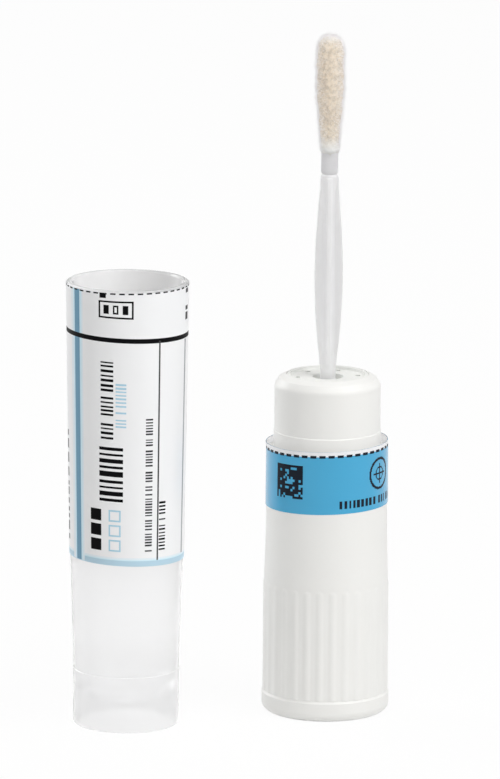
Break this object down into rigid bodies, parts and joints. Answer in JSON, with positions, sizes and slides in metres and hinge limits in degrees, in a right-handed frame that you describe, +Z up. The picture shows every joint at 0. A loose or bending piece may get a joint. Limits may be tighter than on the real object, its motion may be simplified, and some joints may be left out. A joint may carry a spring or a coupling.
{
  "type": "specimen swab tube",
  "caption": "Clear tapered specimen tube, open, beside its white ribbed cap, which stands on its end and holds a flocked swab upright in its vented plug.",
  "frame": {"origin": "on the standing surface, under the middle of the pair's outline", "axes": "+Z up, along the axes of the tube and of the cap; +X from the tube towards the cap; +Y to the back"},
  "size_m": [0.0494, 0.028, 0.1051],
  "materials": {
    "clear_plastic": "clear, slightly cloudy moulding",
    "label_film": "white printed film, satin",
    "white_plastic": "white moulding, satin",
    "blue_film": "light blue printed film, satin",
    "drying_beads": "dull beads",
    "shaft_plastic": "milky, half clear moulding",
    "flock": "short upright fibres"
  },
  "bodies": {
    "tube": {"tube": "clear_plastic", "tube_label": "label_film"},
    "cap": {"cap_body": "white_plastic", "cap_band": "blue_film", "vent_disc": "white_plastic", "desiccant": "drying_beads", "swab_shaft": "shaft_plastic", "swab_tip": "flock"}
  },
  "joints": [
    {"name": "cap_draw", "type": "slide", "parent": "tube", "child": "cap", "axis": [0, 0, 1], "range_m": [0, 0.064]}
  ]
}
